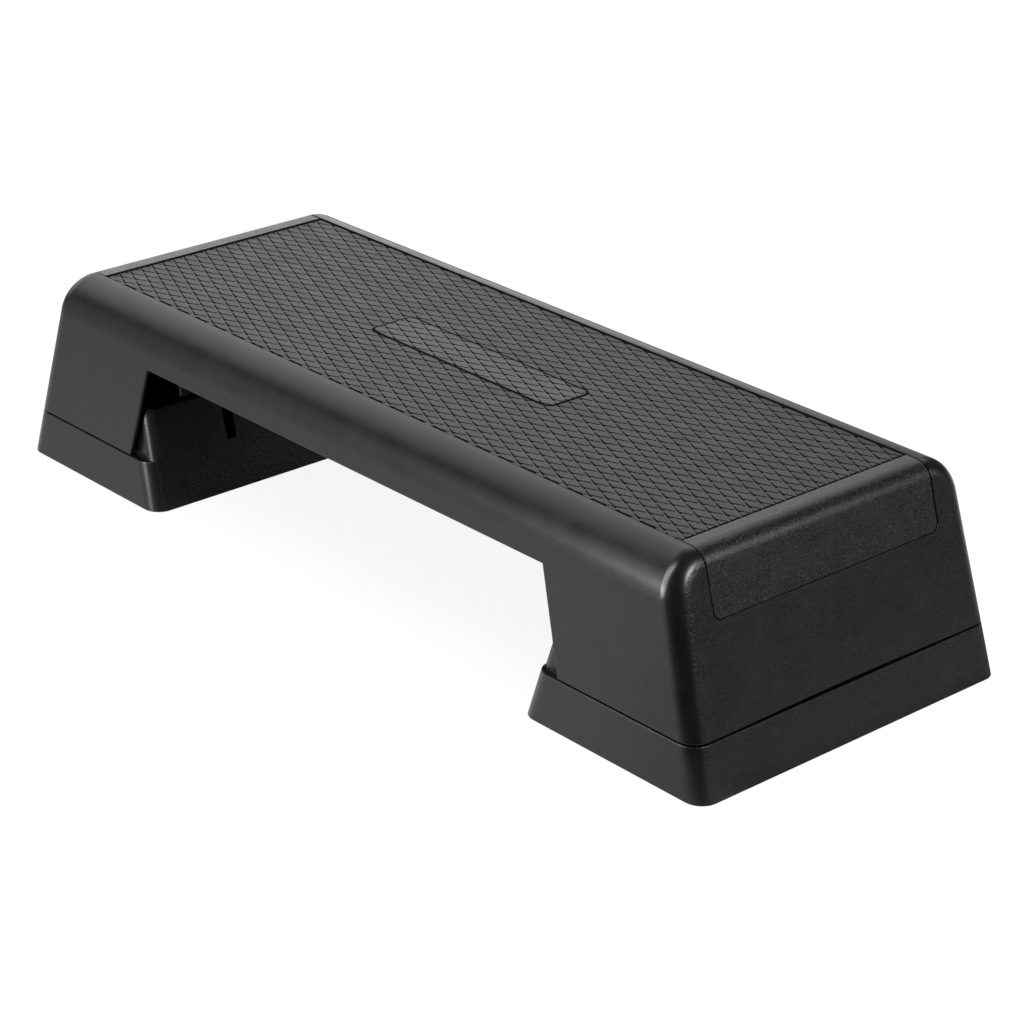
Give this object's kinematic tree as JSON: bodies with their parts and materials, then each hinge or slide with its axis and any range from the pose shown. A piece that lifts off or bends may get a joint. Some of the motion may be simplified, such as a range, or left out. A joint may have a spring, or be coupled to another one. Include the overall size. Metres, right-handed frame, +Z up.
{
  "type": "aerobic step platform",
  "caption": "Low moulded exercise step with rounded long edges, a scale-patterned rubber tread lapping over both ends, and pull-off riser feet that nest in its leg boxes.",
  "frame": {"origin": "on the floor under the middle of the deck", "axes": "+X along the bench, +Y across it, +Z up"},
  "size_m": [0.9894, 0.3718, 0.2],
  "materials": {
    "deck_plastic": "satin black moulded plastic with a fine spark grain",
    "foot_plastic": "satin black moulded plastic with a fine spark grain",
    "tread_rubber": "matt black rubber with raised overlapping scales and grained flaps",
    "pad_rubber": "matt black rubber"
  },
  "bodies": {
    "deck": {"deck_shell": "deck_plastic", "tread_mat": "tread_rubber"},
    "left_foot": {"left_foot": "foot_plastic", "left_pad_1": "pad_rubber", "left_pad_2": "pad_rubber", "left_pad_3": "pad_rubber", "left_pad_4": "pad_rubber"},
    "right_foot": {"right_foot": "foot_plastic", "right_pad_1": "pad_rubber", "right_pad_2": "pad_rubber", "right_pad_3": "pad_rubber", "right_pad_4": "pad_rubber"}
  },
  "joints": [
    {"name": "left_foot_slide", "type": "slide", "parent": "deck", "child": "left_foot", "axis": [0, 0, -1], "range_m": [0, 0.06]},
    {"name": "right_foot_slide", "type": "slide", "parent": "deck", "child": "right_foot", "axis": [0, 0, -1], "range_m": [0, 0.06]}
  ]
}
